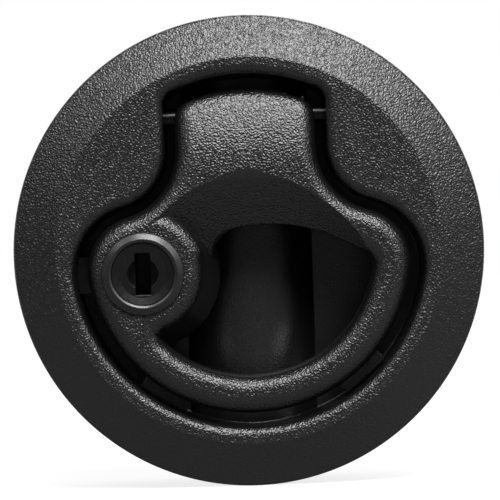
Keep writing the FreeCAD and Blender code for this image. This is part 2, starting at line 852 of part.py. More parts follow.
def lock_plug():
    front = plug_front()
    plug = revolve([
        (0, front),
        (plug_face, front),
        (plug_radius, front - plug_dish),
        (plug_radius, barrel_end),
        (0, barrel_end),
    ], lock_x, lock_z)
    tail = box(lock_x - tail_half, lock_x + tail_half, barrel_end - join_overlap, cam_back,
               lock_z - tail_half, lock_z + tail_half)
    plug = plug.fuse(tail)
    cuts = [box(lock_x - key_half_width, lock_x + key_half_width, front - overcut, front + key_depth,
                lock_z - key_half_height, lock_z + key_half_height),
            rod(key_hole_radius, lock_x, lock_z, front - overcut, front + key_hole_depth),
            rod(cam_screw_radius + seat_clearance, lock_x, lock_z, cam_back - cam_screw_depth,
                cam_back + overcut)]
    half = wafer_half_width + wafer_clearance
    for i in range(wafer_count):
        y = wafer_depth(i)
        cuts.append(box(lock_x - half, lock_x + half, y - wafer_clearance,
                        y + wafer_thickness + wafer_clearance, lock_z - plug_radius,
                        lock_z + plug_radius))
        cuts.append(spring_hole(i))
    plug = keep_solid(plug.cut(cuts))
    ends = [e for e in edges_at_depth(plug, front) if e.BoundBox.ZLength < tiny]
    return plug.makeChamfer(key_edge, ends)


def wafer_spring_place(i):
    """The lower end of a wafer's spring, beside the wafer, left and right by turns."""
    side = 1 if i % 2 else -1
    x = lock_x + side * (wafer_half_width + wafer_spring_radius + wafer_spring_gap)
    return vec(x, wafer_depth(i) + wafer_thickness / 2, lock_z - wafer_spring_length / 2)


def spring_hole(i):
    r = wafer_spring_radius + wafer_clearance
    return Part.makeCylinder(r, wafer_spring_length + 2 * wafer_clearance,
                             wafer_spring_place(i) - vec(0, 0, wafer_clearance))


def wafer_tumblers():
    """Flat wafers, each with a window for the key and a foot for its spring."""
    wafers = []
    for i in range(wafer_count):
        y = wafer_depth(i)
        plate = box(lock_x - wafer_half_width, lock_x + wafer_half_width, y, y + wafer_thickness,
                    lock_z - wafer_half_height, lock_z + wafer_half_height)
        plate = plate.common(rod(plug_radius, lock_x, lock_z, y, y + wafer_thickness))
        shift = wafer_step * (i % 3 - 1)
        width = key_half_width + wafer_window
        height = key_half_height + wafer_window
        window = box(lock_x - width, lock_x + width, y - overcut, y + 2 * overcut,
                     lock_z - height + shift, lock_z + height + shift)
        wafers.append(keep_solid(plate.cut(window)))
    return Part.makeCompound(wafers)


def wafer_springs():
    coils = []
    wire = wafer_spring_wire
    for i in range(wafer_count):
        start = wafer_spring_place(i) + vec(0, 0, wire / 2)
        pitch = (wafer_spring_length - wire) / wafer_spring_turns
        coils.append(coil(wafer_spring_radius - wire / 2, wire, pitch, wafer_spring_turns, start,
                          vec(0, 0, 1)))
    return Part.makeCompound(coils)


def lock_cam():
    """The arm on the plug's tail. It hangs down when unlocked and turns out to the lug."""
    cam = rod(cam_half_width, lock_x, lock_z, cam_front, cam_back)
    arm = box(lock_x - cam_half_width, lock_x + cam_half_width, cam_front, cam_back,
              lock_z - cam_reach, lock_z)
    arm = arm.common(rod(cam_reach, lock_x, lock_z, cam_front, cam_back))
    half = tail_half + seat_clearance
    hole = box(lock_x - half, lock_x + half, cam_front - overcut, cam_back + overcut,
               lock_z - half, lock_z + half)
    cam = cam.fuse(arm).removeSplitter().cut(hole)
    return keep_solid(cam)


def cam_screw():
    return pan_screw(cam_screw_radius, cam_screw_head, cam_screw_head_height,
                     cam_screw_depth - cam_screw_spare, lock_x, lock_z, cam_back)


def barrel_clip():
    """An open retaining ring in the barrel's groove, behind the boss."""
    y1 = boss_end + clip_thickness
    ring = rod(clip_radius, lock_x, lock_z, boss_end, y1)
    ring = ring.cut(rod(barrel_radius - clip_groove + seat_clearance, lock_x, lock_z,
                        boss_end - overcut, y1 + overcut))
    half = math.radians(clip_gap_angle / 2)
    reach = 2 * clip_radius
    start = boss_end - overcut
    wedge = Part.Face(Part.makePolygon([
        vec(lock_x, start, lock_z),
        vec(lock_x + reach * math.sin(half), start, lock_z + reach * math.cos(half)),
        vec(lock_x - reach * math.sin(half), start, lock_z + reach * math.cos(half)),
        vec(lock_x, start, lock_z),
    ])).extrude(vec(0, clip_thickness + 2 * overcut, 0))
    return keep_solid(ring.cut(wedge))


def bumper_pads():
    """Two small rubber pads on the rest ledges."""
    pads = []
    start = pull_depth + pad_gap
    for angle in pad_angles:
        pad = box(pad_inner, pad_outer, start, start + pad_thickness, -pad_width / 2, pad_width / 2)
        pad = pad.makeFillet(pad_corner, upright_edges(pad))
        pad.rotate(vec(0, 0, 0), vec(0, -1, 0), angle)
        pads.append(pad)
    return Part.makeCompound(pads)


def panel_gasket():
    ring = rod(gasket_outer - seat_clearance, 0, 0, -gasket_depth, 0)
    hole = rod(gasket_inner + seat_clearance, 0, 0, -gasket_depth - overcut, overcut)
    return ring.cut(hole)


builders = [
    cup_housing, pull_handle, pivot_pin, handle_return_spring, pawl, pawl_spring, pawl_cover,
    cover_screws, mounting_yoke, yoke_screws, yoke_washers, lock_barrel, lock_plug,
    wafer_tumblers, wafer_springs, lock_cam, cam_screw, barrel_clip, bumper_pads, panel_gasket,
]

os.makedirs("parts", exist_ok=True)
for build in builders:
    shape = build()
    name = build.__name__
    if not shape.isValid():
        print("not valid:", name)
    shape.exportStep("parts/" + name + ".step")
    print(name, len(shape.Solids), round(shape.Volume, 1))
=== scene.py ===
import bmesh
import bpy
import math
from mathutils import Matrix, Vector


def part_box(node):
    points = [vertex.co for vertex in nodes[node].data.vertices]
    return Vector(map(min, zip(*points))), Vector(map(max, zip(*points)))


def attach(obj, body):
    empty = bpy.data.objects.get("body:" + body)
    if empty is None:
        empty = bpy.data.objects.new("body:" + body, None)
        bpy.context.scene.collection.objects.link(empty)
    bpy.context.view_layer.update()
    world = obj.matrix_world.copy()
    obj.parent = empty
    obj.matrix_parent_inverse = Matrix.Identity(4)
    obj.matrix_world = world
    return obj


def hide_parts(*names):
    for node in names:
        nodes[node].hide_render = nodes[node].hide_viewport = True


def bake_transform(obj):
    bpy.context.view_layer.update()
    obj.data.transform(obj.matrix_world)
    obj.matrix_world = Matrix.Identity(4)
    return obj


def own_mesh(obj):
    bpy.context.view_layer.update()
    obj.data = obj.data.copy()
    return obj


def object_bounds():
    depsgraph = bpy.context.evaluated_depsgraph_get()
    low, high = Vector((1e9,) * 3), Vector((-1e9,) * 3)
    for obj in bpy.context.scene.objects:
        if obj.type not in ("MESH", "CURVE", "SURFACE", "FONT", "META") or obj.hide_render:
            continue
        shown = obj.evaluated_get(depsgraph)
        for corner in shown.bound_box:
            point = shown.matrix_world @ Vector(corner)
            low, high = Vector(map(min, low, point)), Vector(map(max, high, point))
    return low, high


# A flush pull latch: moulded black cup and pull, a small key lock, and the clamp behind.
# X points right, Y into the cabinet and Z up. Lengths are metres, so sizes are written with mm.

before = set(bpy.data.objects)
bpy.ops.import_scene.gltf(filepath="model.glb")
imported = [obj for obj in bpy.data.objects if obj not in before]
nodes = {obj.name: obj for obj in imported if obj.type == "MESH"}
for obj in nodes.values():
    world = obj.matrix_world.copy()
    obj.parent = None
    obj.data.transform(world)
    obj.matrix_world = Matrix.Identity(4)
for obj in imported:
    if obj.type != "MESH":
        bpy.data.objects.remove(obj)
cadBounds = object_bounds()
mm = 0.001
wholeTurn = 2 * math.pi
mathNode = "ShaderNodeMath"
print("frame loaded:", len(nodes), "pieces")


# sRGB hex such as "1a1b1d" to the linear colour that a shader takes
def linearColor(hexValue):
    parts = [int(hexValue[i:i + 2], 16) / 255 for i in (0, 2, 4)]
    return (*[p / 12.92 if p <= 0.04045 else ((p + 0.055) / 1.055) ** 2.4 for p in parts], 1.0)


# adds a node with its settings; an input is a value, a node, (node, output) or a list of those
def addNode(tree, kind, inputs=None, **settings):
    made = tree.nodes.new(kind)
    for name, value in settings.items():
        setattr(made, name, value)
    for key, value in (inputs or {}).items():
        for source in value if isinstance(value, list) else [value]:
            if isinstance(source, bpy.types.Node):
                source = source, 0
            if isinstance(source, tuple) and isinstance(source[0], bpy.types.Node):
                tree.links.new(source[0].outputs[source[1]], made.inputs[key])
            else:
                made.inputs[key].default_value = source
    return made


# a material whose plain numbers sit on the shader's own sockets
def newMaterial(name, **shaderValues):
    made = bpy.data.materials.new(name)
    made.use_nodes = True
    tree = made.node_tree
    tree.nodes.clear()
    values = {socket.replace("_", " "): value for socket, value in shaderValues.items()}
    shader = addNode(tree, "ShaderNodeBsdfPrincipled", values)
    addNode(tree, "ShaderNodeOutputMaterial", {"Surface": shader})
    return made, tree, shader


noiseLow, noiseHigh = 0.3, 0.7  # nearly all of a noise texture lies between these
colorA, colorB, mixedColor = 6, 7, 2  # a Mix node's colour sockets
edgeSamples = 6


# what all finishes share: bump on softened edges, and a tone and gloss that follow the grain
def dressSurface(tree, shader, grain, height, strength, depth, edge, dark, light, rough):
    softened = addNode(tree, "ShaderNodeBevel", {"Radius": edge * mm}, samples=edgeSamples)
    bump = addNode(tree, "ShaderNodeBump", {"Height": height, "Strength": strength,
                                            "Distance": depth * mm, "Normal": softened})
    tone = addNode(tree, "ShaderNodeMix", {"Factor": grain, colorA: linearColor(dark),
                                           colorB: linearColor(light)}, data_type="RGBA")
    gloss = addNode(tree, "ShaderNodeMapRange", {"Value": grain, "From Min": noiseLow,
                                                 "From Max": noiseHigh, "To Min": rough[0],
                                                 "To Max": rough[1]})
    tree.links.new(bump.outputs[0], shader.inputs["Normal"])
    tree.links.new(tone.outputs[mixedColor], shader.inputs["Base Color"])
    tree.links.new(gloss.outputs[0], shader.inputs["Roughness"])


# glass-filled nylon moulded in a spark-eroded tool: fine pits that glitter in a grazing light
nylonGrain = {
    "grain": 0.24,      # mm, width of the larger bumps
    "pits": 0.2,        # mm, width of the eroded pits
    "pitShare": 0.2,    # how deep the pits are against the bumps
    "depth": 0.1,       # mm, from pit to peak
    "edge": 0.3,        # mm, softness of moulded edges
    "wall": 0.3,        # a face counts as a wall when its normal leans this little along Y
    "open": 0.8,        # and as an open face when it leans this much
    "wallShare": 0.1,   # what is left of the grain on walls that draw out of the tool
    "deepShare": 0.2,   # what is left of it on the floor of the recess
    "deepStart": 3.0,   # mm behind the panel's face, where it starts to fade
    "deepEnd": 8.0,
    "dark": "090909",
    "light": "111111",
    "rough": (0.29, 0.35),
}


def texturedNylon(name, size, **shaderValues):
    made, tree, shader = newMaterial(name, **shaderValues)
    place = addNode(tree, "ShaderNodeTexCoord")
    grain = addNode(tree, "ShaderNodeTexNoise", {"Vector": (place, "Object"), "Detail": 0.0,
                                                 "Scale": 1 / (size["grain"] * mm)})
    pits = addNode(tree, "ShaderNodeTexVoronoi", {"Vector": (place, "Object"),
                                                  "Scale": 1 / (size["pits"] * mm)},
                   feature="SMOOTH_F1")
    height = addNode(tree, mathNode, {0: (pits, "Distance"), 1: size["pitShare"],
                                      2: (grain, "Fac")}, operation="MULTIPLY_ADD")
    normal = addNode(tree, "ShaderNodeSeparateXYZ", {"Vector": (place, "Normal")})
    facing = addNode(tree, mathNode, {0: (normal, "Y")}, operation="ABSOLUTE")
    share = addNode(tree, "ShaderNodeMapRange", {"Value": facing, "From Min": size["wall"],
                                                 "From Max": size["open"],
                                                 "To Min": size["wallShare"], "To Max": 1.0},
                    interpolation_type="SMOOTHSTEP")
    spot = addNode(tree, "ShaderNodeSeparateXYZ", {"Vector": (place, "Object")})
    inside = addNode(tree, "ShaderNodeMapRange", {"Value": (spot, "Y"),
                                                  "From Min": size["deepStart"] * mm,
                                                  "From Max": size["deepEnd"] * mm,
                                                  "To Min": 1.0, "To Max": size["deepShare"]})
    strength = addNode(tree, mathNode, {0: share, 1: inside}, operation="MULTIPLY")
    dressSurface(tree, shader, (grain, "Fac"), height, strength, size["depth"], size["edge"],
                 size["dark"], size["light"], size["rough"])
    return made


# a smooth finish: a fine even bump, with the grain's width, its depth and the edges in mm
def evenFinish(name, grain, depth, edge, dark, light, rough, **shaderValues):
    made, tree, shader = newMaterial(name, **shaderValues)
    place = addNode(tree, "ShaderNodeTexCoord")
    noise = addNode(tree, "ShaderNodeTexNoise", {"Vector": (place, "Object"), "Detail": 2.0,
                                                 "Scale": 1 / (grain * mm)})
    dressSurface(tree, shader, (noise, "Fac"), (noise, "Fac"), 1.0, depth, edge, dark, light,
                 rough)
    return made


finishes = {
    "textured_nylon": texturedNylon("mouldedTexturedNylon", nylonGrain, IOR=1.64),
    # polished tool faces of the same nylon: even, low sheen
    "smooth_nylon": evenFinish("mouldedSmoothNylon", grain=0.6, depth=0.006, edge=0.2,
                               dark="191919", light="202020", rough=(0.38, 0.46), IOR=1.53),
    # black lacquer over die-cast zinc: smooth, with a broad soft highlight
    "lock_black": evenFinish("blackLacquerOnZinc", grain=0.8, depth=0.004, edge=0.22,
                             dark="151515", light="191919", rough=(0.26, 0.32), IOR=1.6),
    # thin black electrocoat on the plug, its colour painted darker still as the shade of its recess
    # inside the ring, and a little drier
    "plug_black": evenFinish("blackElectrocoatWithPaintedShade", grain=0.5, depth=0.006, edge=0.14,
                             dark="090909", light="0d0d0d", rough=(0.3, 0.38), IOR=1.4),
    # ground stainless pin, its colour painted dark as the shade of the dark gap, where only its
    # ends show
    "stainless": evenFinish("groundStainlessWithPaintedShade", grain=0.25, depth=0.002, edge=0.05,
                            dark="262626", light="2e2e2e", rough=(0.24, 0.32), Metallic=1.0),
    # phosphated spring wire: dark grey, faintly blue, so that no tip glints in the gap
    "spring_steel": evenFinish("phosphatedSpringSteel", grain=0.15, depth=0.003, edge=0.03,
                               dark="2c2d2f", light="37393b", rough=(0.36, 0.48), Metallic=1.0),
    # bright zinc plating: soft silver with a slight mottle
    "zinc_steel": evenFinish("zincPlatedSteel", grain=0.35, depth=0.004, edge=0.06,
                             dark="aeb2b8", light="c0c4c9", rough=(0.26, 0.38), Metallic=1.0),
    # stamped brass: warm, with burnished edges
    "brass": evenFinish("stampedBrass", grain=0.3, depth=0.003, edge=0.04,
                        dark="b38d4a", light="c7a35f", rough=(0.25, 0.36), Metallic=1.0),
    # moulded rubber: matt, nearly black
    "rubber_black": evenFinish("mouldedRubber", grain=0.3, depth=0.09, edge=0.12,
                               dark="242424", light="343434", rough=(0.45, 0.55), IOR=1.52),
}
slotOf = {}
for name, piece in nodes.items():
    slotOf[name] = piece.material_slots[0].material.name
    piece.material_slots[0].material = finishes[slotOf[name].split(".")[0]]
print("finishes set:", len(finishes))


# a geometry-node group with named inputs and one mesh output
def newGroup(name, sockets):
    tree = bpy.data.node_groups.new(name, "GeometryNodeTree")
    tree.interface.new_socket("Mesh", in_out="OUTPUT", socket_type="NodeSocketGeometry")
    for label, kind in sockets.items():
        tree.interface.new_socket(label, in_out="INPUT", socket_type="NodeSocket" + kind)
    return tree, addNode(tree, "NodeGroupInput")


# grows a plain mesh piece from a group, with the values set before its first evaluation
def growPiece(name, tree, values):
    holder = bpy.data.objects.new(name, bpy.data.meshes.new(name))
    bpy.context.scene.collection.objects.link(holder)
    modifier = holder.modifiers.new("grow", "NODES")
    modifier.node_group = tree
    for socket in tree.interface.items_tree:
        if socket.in_out == "INPUT":
            modifier[socket.identifier] = values[socket.name]
    grown = holder.evaluated_get(bpy.context.evaluated_depsgraph_get())
    mesh = bpy.data.meshes.new_from_object(grown)
    holder.modifiers.clear()
    holder.data = mesh
    mesh.name = name
    mesh.materials.clear()  # drops the empty slot that comes before the finish
    mesh.materials.append(values["Finish"])
    return holder


# hides the part that a grown piece stands for and hangs the piece on the body it rides on
def fitPiece(piece, body, node):
    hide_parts(node)
    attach(piece, body)
    print("grown:", piece.name, len(piece.data.polygons), "faces")


# the point that lies a number of turns round Z, at a radius and a height
def roundPoint(tree, turns, radius, z):
    angle = addNode(tree, mathNode, {0: turns, 1: wholeTurn}, operation="MULTIPLY")
    cosine = addNode(tree, mathNode, {0: angle}, operation="COSINE")
    sine = addNode(tree, mathNode, {0: angle}, operation="SINE")
    x = addNode(tree, mathNode, {0: cosine, 1: radius}, operation="MULTIPLY")
    y = addNode(tree, mathNode, {0: sine, 1: radius}, operation="MULTIPLY")
    return addNode(tree, "ShaderNodeCombineXYZ", {"X": x, "Y": y, "Z": z})


# copies a piece to the points of a row, makes the copies real and gives them their finish
def fillRow(tree, given, row, piece, smooth, rotation=(0, 0, 0)):
    placed = addNode(tree, "GeometryNodeInstanceOnPoints", {"Points": row, "Instance": piece,
                                                            "Rotation": rotation})
    whole = addNode(tree, "GeometryNodeRealizeInstances", {0: placed})
    shaded = addNode(tree, "GeometryNodeSetShadeSmooth", {0: whole, "Shade Smooth": smooth})
    painted = addNode(tree, "GeometryNodeSetMaterial", {"Geometry": shaded,
                                                        "Material": (given, "Finish")})
    addNode(tree, "NodeGroupOutput", {0: painted})


coilForm = {
    "perTurn": 28,      # steps round one turn
    "sides": 12,        # of the wire
    "standOff": 0.25,   # how far off its seat the wire's middle ends, against its width
}


# compression springs in a row, each wound about Z with closed and ground ends
def coilGroup(form):
    tree, given = newGroup("coilRow", {
        "Count": "Int", "Start": "Vector", "Step": "Vector", "Stagger": "Vector",
        "Radius": "Float", "Wire": "Float", "Length": "Float", "Turns": "Float",
        "Finish": "Material"})
    turns, wire, length = [(given, label) for label in ("Turns", "Wire", "Length")]
    path = addNode(tree, "GeometryNodeCurvePrimitiveLine", {"Start": (0, 0, 0), "End": (0, 0, mm)})
    steps = addNode(tree, mathNode, {0: turns, 1: form["perTurn"]}, operation="MULTIPLY")
    path = addNode(tree, "GeometryNodeResampleCurve", {"Curve": path, "Count": steps})
    along = addNode(tree, "GeometryNodeSplineParameter"), "Factor"
    turned = addNode(tree, mathNode, {0: along, 1: turns}, operation="MULTIPLY")
    rise = addNode(tree, mathNode, {0: wire, 1: -2 * form["standOff"], 2: length},
                   operation="MULTIPLY_ADD")
    # near its ends the coil rises by one wire a turn, and further in it opens out
    stack = addNode(tree, mathNode, {0: wire, 1: turns}, operation="MULTIPLY")
    solid = addNode(tree, mathNode, {0: stack, 1: rise}, operation="DIVIDE")
    wave = addNode(tree, mathNode, {0: along, 1: wholeTurn}, operation="MULTIPLY")
    wave = addNode(tree, mathNode, {0: wave}, operation="SINE")
    swing = addNode(tree, mathNode, {0: solid, 1: 1 / wholeTurn, 2: -1 / wholeTurn},
                    operation="MULTIPLY_ADD")
    swell = addNode(tree, mathNode, {0: wave, 1: swing}, operation="MULTIPLY")
    level = addNode(tree, mathNode, {0: along, 1: swell}, operation="ADD")
    foot = addNode(tree, mathNode, {0: wire, 1: form["standOff"]}, operation="MULTIPLY")
    z = addNode(tree, mathNode, {0: level, 1: rise, 2: foot}, operation="MULTIPLY_ADD")
    place = roundPoint(tree, turned, (given, "Radius"), z)
    path = addNode(tree, "GeometryNodeSetPosition", {"Geometry": path, "Position": place})
    half = addNode(tree, mathNode, {0: wire, 1: 0.5}, operation="MULTIPLY")
    section = addNode(tree, "GeometryNodeCurvePrimitiveCircle", {"Resolution": form["sides"],
                                                                 "Radius": half})
    coil = addNode(tree, "GeometryNodeCurveToMesh", {"Curve": path, "Profile Curve": section,
                                                     "Fill Caps": True})
    spot = addNode(tree, "GeometryNodeInputPosition")
    spot = addNode(tree, "ShaderNodeSeparateXYZ", {0: spot})
    ground = addNode(tree, mathNode, {0: (spot, "Z"), 1: 0.0}, operation="MAXIMUM")
    ground = addNode(tree, mathNode, {0: ground, 1: length}, operation="MINIMUM")
    flat = addNode(tree, "ShaderNodeCombineXYZ", {"X": (spot, "X"), "Y": (spot, "Y"), "Z": ground})
    coil = addNode(tree, "GeometryNodeSetPosition", {"Geometry": coil, "Position": flat})
    row = addNode(tree, "GeometryNodeMeshLine", {"Count": (given, "Count"),
                                                 "Start Location": (given, "Start"),
                                                 "Offset": (given, "Step")})
    # every second coil stands aside
    index = addNode(tree, "GeometryNodeInputIndex")
    odd = addNode(tree, mathNode, {0: index, 1: 2.0}, operation="MODULO")
    aside = addNode(tree, "ShaderNodeVectorMath", {0: (given, "Stagger"), "Scale": odd},
                    operation="SCALE")
    row = addNode(tree, "GeometryNodeSetPosition", {"Geometry": row, "Offset": aside})
    fillRow(tree, given, row, coil, smooth=True)
    return tree


# a turned surface: a grid whose columns run round Z and whose rows follow a profile
def roundGrid(tree, columns, rows, profile):
    grid = addNode(tree, "GeometryNodeMeshGrid", {"Size X": 1.0, "Size Y": 1.0,
                                                  "Vertices X": columns + 1,
                                                  "Vertices Y": rows + 1})
    spot = addNode(tree, "GeometryNodeInputPosition")
    spot = addNode(tree, "ShaderNodeSeparateXYZ", {0: spot})
    across = addNode(tree, mathNode, {0: (spot, "X"), 1: 0.5}, operation="ADD")
    down = addNode(tree, mathNode, {0: (spot, "Y"), 1: 0.5}, operation="ADD")
    radius, z = profile(across, down)
    place = roundPoint(tree, across, radius, z)
    moved = addNode(tree, "GeometryNodeSetPosition", {"Geometry": grid, "Position": place})
    joined = 0.002 * mm  # closes the seam and the poles
    return addNode(tree, "GeometryNodeMergeByDistance", {"Geometry": moved, "Distance": joined})


screwForm = {
    "headColumns": 48,
    "headRows": 30,
    "shankColumns": 36,
    "shankRows": 200,
    "seat": 0.2,        # share of the head's rows that lie in its flat underside
    "dome": 0.5,        # power of the head's profile: 1 is a half ellipse, less is squarer
    "point": 0.08,      # share of the shank's length that the point takes
    "tip": 0.65,        # what is left of the radius at the tip
    "ends": 0.01,       # share of the shank's rows that lie in each flat end
    "closing": 0.0025,  # share of the rows over which an end closes
    "lap": 0.3,         # mm, how far the shank reaches into the head
    "cross": 1.16,      # length of the recess against the head's radius
    "wing": 0.28,       # width of its wings
    "deep": 0.65,       # its depth against the head's height
    "narrowing": 0.55,  # how much narrower it would get over the head's height
}


# pan head screws with a rolled thread and a cross recess, driven along -Y
def screwGroup(form):
    tree, given = newGroup("panScrew", {
        "Count": "Int", "Seat": "Vector", "Step": "Vector", "Radius": "Float",
        "Length": "Float", "Pitch": "Float", "Ridge": "Float", "Head": "Float",
        "Height": "Float", "Finish": "Material"})
    head, height, length = [(given, label) for label in ("Head", "Height", "Length")]
    risen = 1 - form["seat"]

    def headProfile(across, down):
        lift = addNode(tree, mathNode, {0: down, 1: 1 / risen, 2: -form["seat"] / risen},
                       operation="MULTIPLY_ADD")
        lift = addNode(tree, mathNode, {0: lift, 1: 0.0}, operation="MAXIMUM")
        lift = addNode(tree, mathNode, {0: lift, 1: wholeTurn / 4}, operation="MULTIPLY")
        flare = addNode(tree, mathNode, {0: down, 1: 1 / form["seat"]}, operation="MULTIPLY")
        flare = addNode(tree, mathNode, {0: flare, 1: 1.0}, operation="MINIMUM")
        side = addNode(tree, mathNode, {0: lift}, operation="COSINE")
        side = addNode(tree, mathNode, {0: side, 1: 0.0}, operation="MAXIMUM")
        side = addNode(tree, mathNode, {0: side, 1: form["dome"]}, operation="POWER")
        top = addNode(tree, mathNode, {0: lift}, operation="SINE")
        top = addNode(tree, mathNode, {0: top, 1: form["dome"]}, operation="POWER")
        width = addNode(tree, mathNode, {0: side, 1: flare}, operation="MULTIPLY")
        return (addNode(tree, mathNode, {0: width, 1: head}, operation="MULTIPLY"),
                addNode(tree, mathNode, {0: top, 1: height}, operation="MULTIPLY"))

    def shankProfile(across, down):
        # the bottom and top rows close the shank; the rows between carry the thread
        body = addNode(tree, mathNode, {0: down, 1: 1 + 2 * form["ends"], 2: -form["ends"]},
                       operation="MULTIPLY_ADD")
        body = addNode(tree, mathNode, {0: body, 1: 0.0}, operation="MAXIMUM")
        body = addNode(tree, mathNode, {0: body, 1: 1.0}, operation="MINIMUM")
        whole = addNode(tree, mathNode, {0: length, 1: form["lap"] * mm}, operation="ADD")
        lowest = addNode(tree, mathNode, {0: length, 1: -1.0}, operation="MULTIPLY")
        z = addNode(tree, mathNode, {0: body, 1: whole, 2: lowest}, operation="MULTIPLY_ADD")
        phase = addNode(tree, mathNode, {0: z, 1: (given, "Pitch")}, operation="DIVIDE")
        phase = addNode(tree, mathNode, {0: phase, 1: across}, operation="SUBTRACT")
        phase = addNode(tree, mathNode, {0: phase}, operation="FRACT")
        valley = addNode(tree, mathNode, {0: phase, 1: 2.0, 2: -1.0}, operation="MULTIPLY_ADD")
        valley = addNode(tree, mathNode, {0: valley}, operation="ABSOLUTE")
        valley = addNode(tree, mathNode, {0: valley, 1: (given, "Ridge")}, operation="MULTIPLY")
        full = addNode(tree, mathNode, {0: (given, "Radius"), 1: valley}, operation="SUBTRACT")
        taper = addNode(tree, mathNode, {0: body, 1: (1 - form["tip"]) / form["point"],
                                         2: form["tip"]}, operation="MULTIPLY_ADD")
        taper = addNode(tree, mathNode, {0: taper, 1: 1.0}, operation="MINIMUM")
        up = addNode(tree, mathNode, {0: 1.0, 1: down}, operation="SUBTRACT")
        closed = addNode(tree, mathNode, {0: down, 1: up}, operation="MINIMUM")
        closed = addNode(tree, mathNode, {0: closed, 1: 1 / form["closing"]}, operation="MULTIPLY")
        closed = addNode(tree, mathNode, {0: closed, 1: 1.0}, operation="MINIMUM")
        radius = addNode(tree, mathNode, {0: full, 1: taper}, operation="MULTIPLY")
        return addNode(tree, mathNode, {0: radius, 1: closed}, operation="MULTIPLY"), z

    top = roundGrid(tree, form["headColumns"], form["headRows"], headProfile)
    shank = roundGrid(tree, form["shankColumns"], form["shankRows"], shankProfile)
    # the cross recess: two crossed blocks that narrow towards their foot
    long = addNode(tree, mathNode, {0: head, 1: form["cross"]}, operation="MULTIPLY")
    thin = addNode(tree, mathNode, {0: head, 1: form["wing"]}, operation="MULTIPLY")
    tall = addNode(tree, mathNode, {0: height, 1: 2 * form["deep"]}, operation="MULTIPLY")
    spot = addNode(tree, "GeometryNodeInputPosition")
    spot = addNode(tree, "ShaderNodeSeparateXYZ", {0: spot})
    narrow = addNode(tree, mathNode, {0: (spot, "Z"), 1: height}, operation="DIVIDE")
    narrow = addNode(tree, mathNode, {0: narrow, 1: form["narrowing"], 2: 1.0},
                     operation="MULTIPLY_ADD")
    x = addNode(tree, mathNode, {0: (spot, "X"), 1: narrow}, operation="MULTIPLY")
    y = addNode(tree, mathNode, {0: (spot, "Y"), 1: narrow}, operation="MULTIPLY")
    z = addNode(tree, mathNode, {0: (spot, "Z"), 1: height}, operation="ADD")
    place = addNode(tree, "ShaderNodeCombineXYZ", {"X": x, "Y": y, "Z": z})
    cuts = []
    for width, depth in ((long, thin), (thin, long)):
        block = addNode(tree, "ShaderNodeCombineXYZ", {"X": width, "Y": depth, "Z": tall})
        block = addNode(tree, "GeometryNodeMeshCube", {"Size": block})
        cuts.append(addNode(tree, "GeometryNodeSetPosition", {"Geometry": block,
                                                              "Position": place}))
    whole = addNode(tree, "GeometryNodeMeshBoolean", {"Mesh 2": [top, shank]},
                    operation="UNION", solver="EXACT")
    screw = addNode(tree, "GeometryNodeMeshBoolean", {"Mesh 1": whole, "Mesh 2": cuts},
                    operation="DIFFERENCE", solver="EXACT")
    row = addNode(tree, "GeometryNodeMeshLine", {"Count": (given, "Count"),
                                                 "Start Location": (given, "Seat"),
                                                 "Offset": (given, "Step")})
    fillRow(tree, given, row, screw, smooth=False, rotation=(-wholeTurn / 4, 0, 0))
    return tree


coils = coilGroup(coilForm)
screws = screwGroup(screwForm)

pawlSpring = {
    "wire": 0.6,       # mm
    "turns": 9.5,
    "pressed": 0.66,   # share of its length left when the pull is open
}
lowest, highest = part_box("pawl_spring")
middle = (lowest + highest) / 2
foot = (middle.x, middle.y, lowest.z)
wire = pawlSpring["wire"] * mm
pawlSpringPiece = growPiece("pawlSpring", coils, {
    "Count": 1, "Start": foot, "Step": (0, 0, 0), "Stagger": (0, 0, 0),
    "Radius": (highest.x - lowest.x - wire) / 2, "Wire": wire,
    "Length": highest.z - lowest.z, "Turns": pawlSpring["turns"],
    "Finish": finishes["spring_steel"]})
fitPiece(pawlSpringPiece, "housing", "pawl_spring")
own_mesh(pawlSpringPiece)

# the wafers' springs stand beside them, left and right by turns from the front one back
waferSprings = {
    "count": 4,
    "wire": 0.16,      # mm
    "outer": 0.4,      # mm, outer radius
    "turns": 6.5,
}
lowest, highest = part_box("wafer_springs")
outer = waferSprings["outer"] * mm
wire = waferSprings["wire"] * mm
first = Vector((lowest.x + outer, lowest.y + outer, lowest.z))
last = Vector((highest.x - outer, highest.y - outer, lowest.z))
waferSpringsPiece = growPiece("waferSprings", coils, {
    "Count": waferSprings["count"], "Start": first,
    "Step": (0, (last.y - first.y) / (waferSprings["count"] - 1), 0),
    "Stagger": (last.x - first.x, 0, 0), "Radius": outer - wire / 2, "Wire": wire,
    "Length": highest.z - lowest.z, "Turns": waferSprings["turns"],
    "Finish": finishes["spring_steel"]})
fitPiece(waferSpringsPiece, "lock_plug", "wafer_springs")

# screws, in mm: radii of shank and head, height of the head, and the thread's pitch and depth
screwSizes = {
    "yokeScrews": {"node": "yoke_screws", "body": "housing", "count": 2, "radius": 2.0,
                   "head": 3.7, "height": 2.5, "pitch": 0.7, "ridge": 0.38},
    "coverScrews": {"node": "cover_screws", "body": "housing", "count": 2, "radius": 1.1,
                    "head": 2.0, "height": 1.3, "pitch": 0.5, "ridge": 0.24},
    "camScrew": {"node": "cam_screw", "body": "lock_plug", "count": 1, "radius": 1.2,
                 "head": 2.6, "height": 1.3, "pitch": 0.45, "ridge": 0.22},
}
for name, size in screwSizes.items():
    lowest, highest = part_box(size["node"])
    head = size["head"] * mm
    seat = highest.y - size["height"] * mm
    screwPiece = growPiece(name, screws, {
        "Count": size["count"], "Seat": (lowest.x + head, seat, (lowest.z + highest.z) / 2),
        "Step": (highest.x - lowest.x - 2 * head, 0, 0), "Radius": size["radius"] * mm,
        "Length": seat - lowest.y, "Pitch": size["pitch"] * mm, "Ridge": size["ridge"] * mm,
        "Head": head, "Height": size["height"] * mm, "Finish": finishes[slotOf[size["node"]]]})
    fitPiece(screwPiece, size["body"], size["node"])

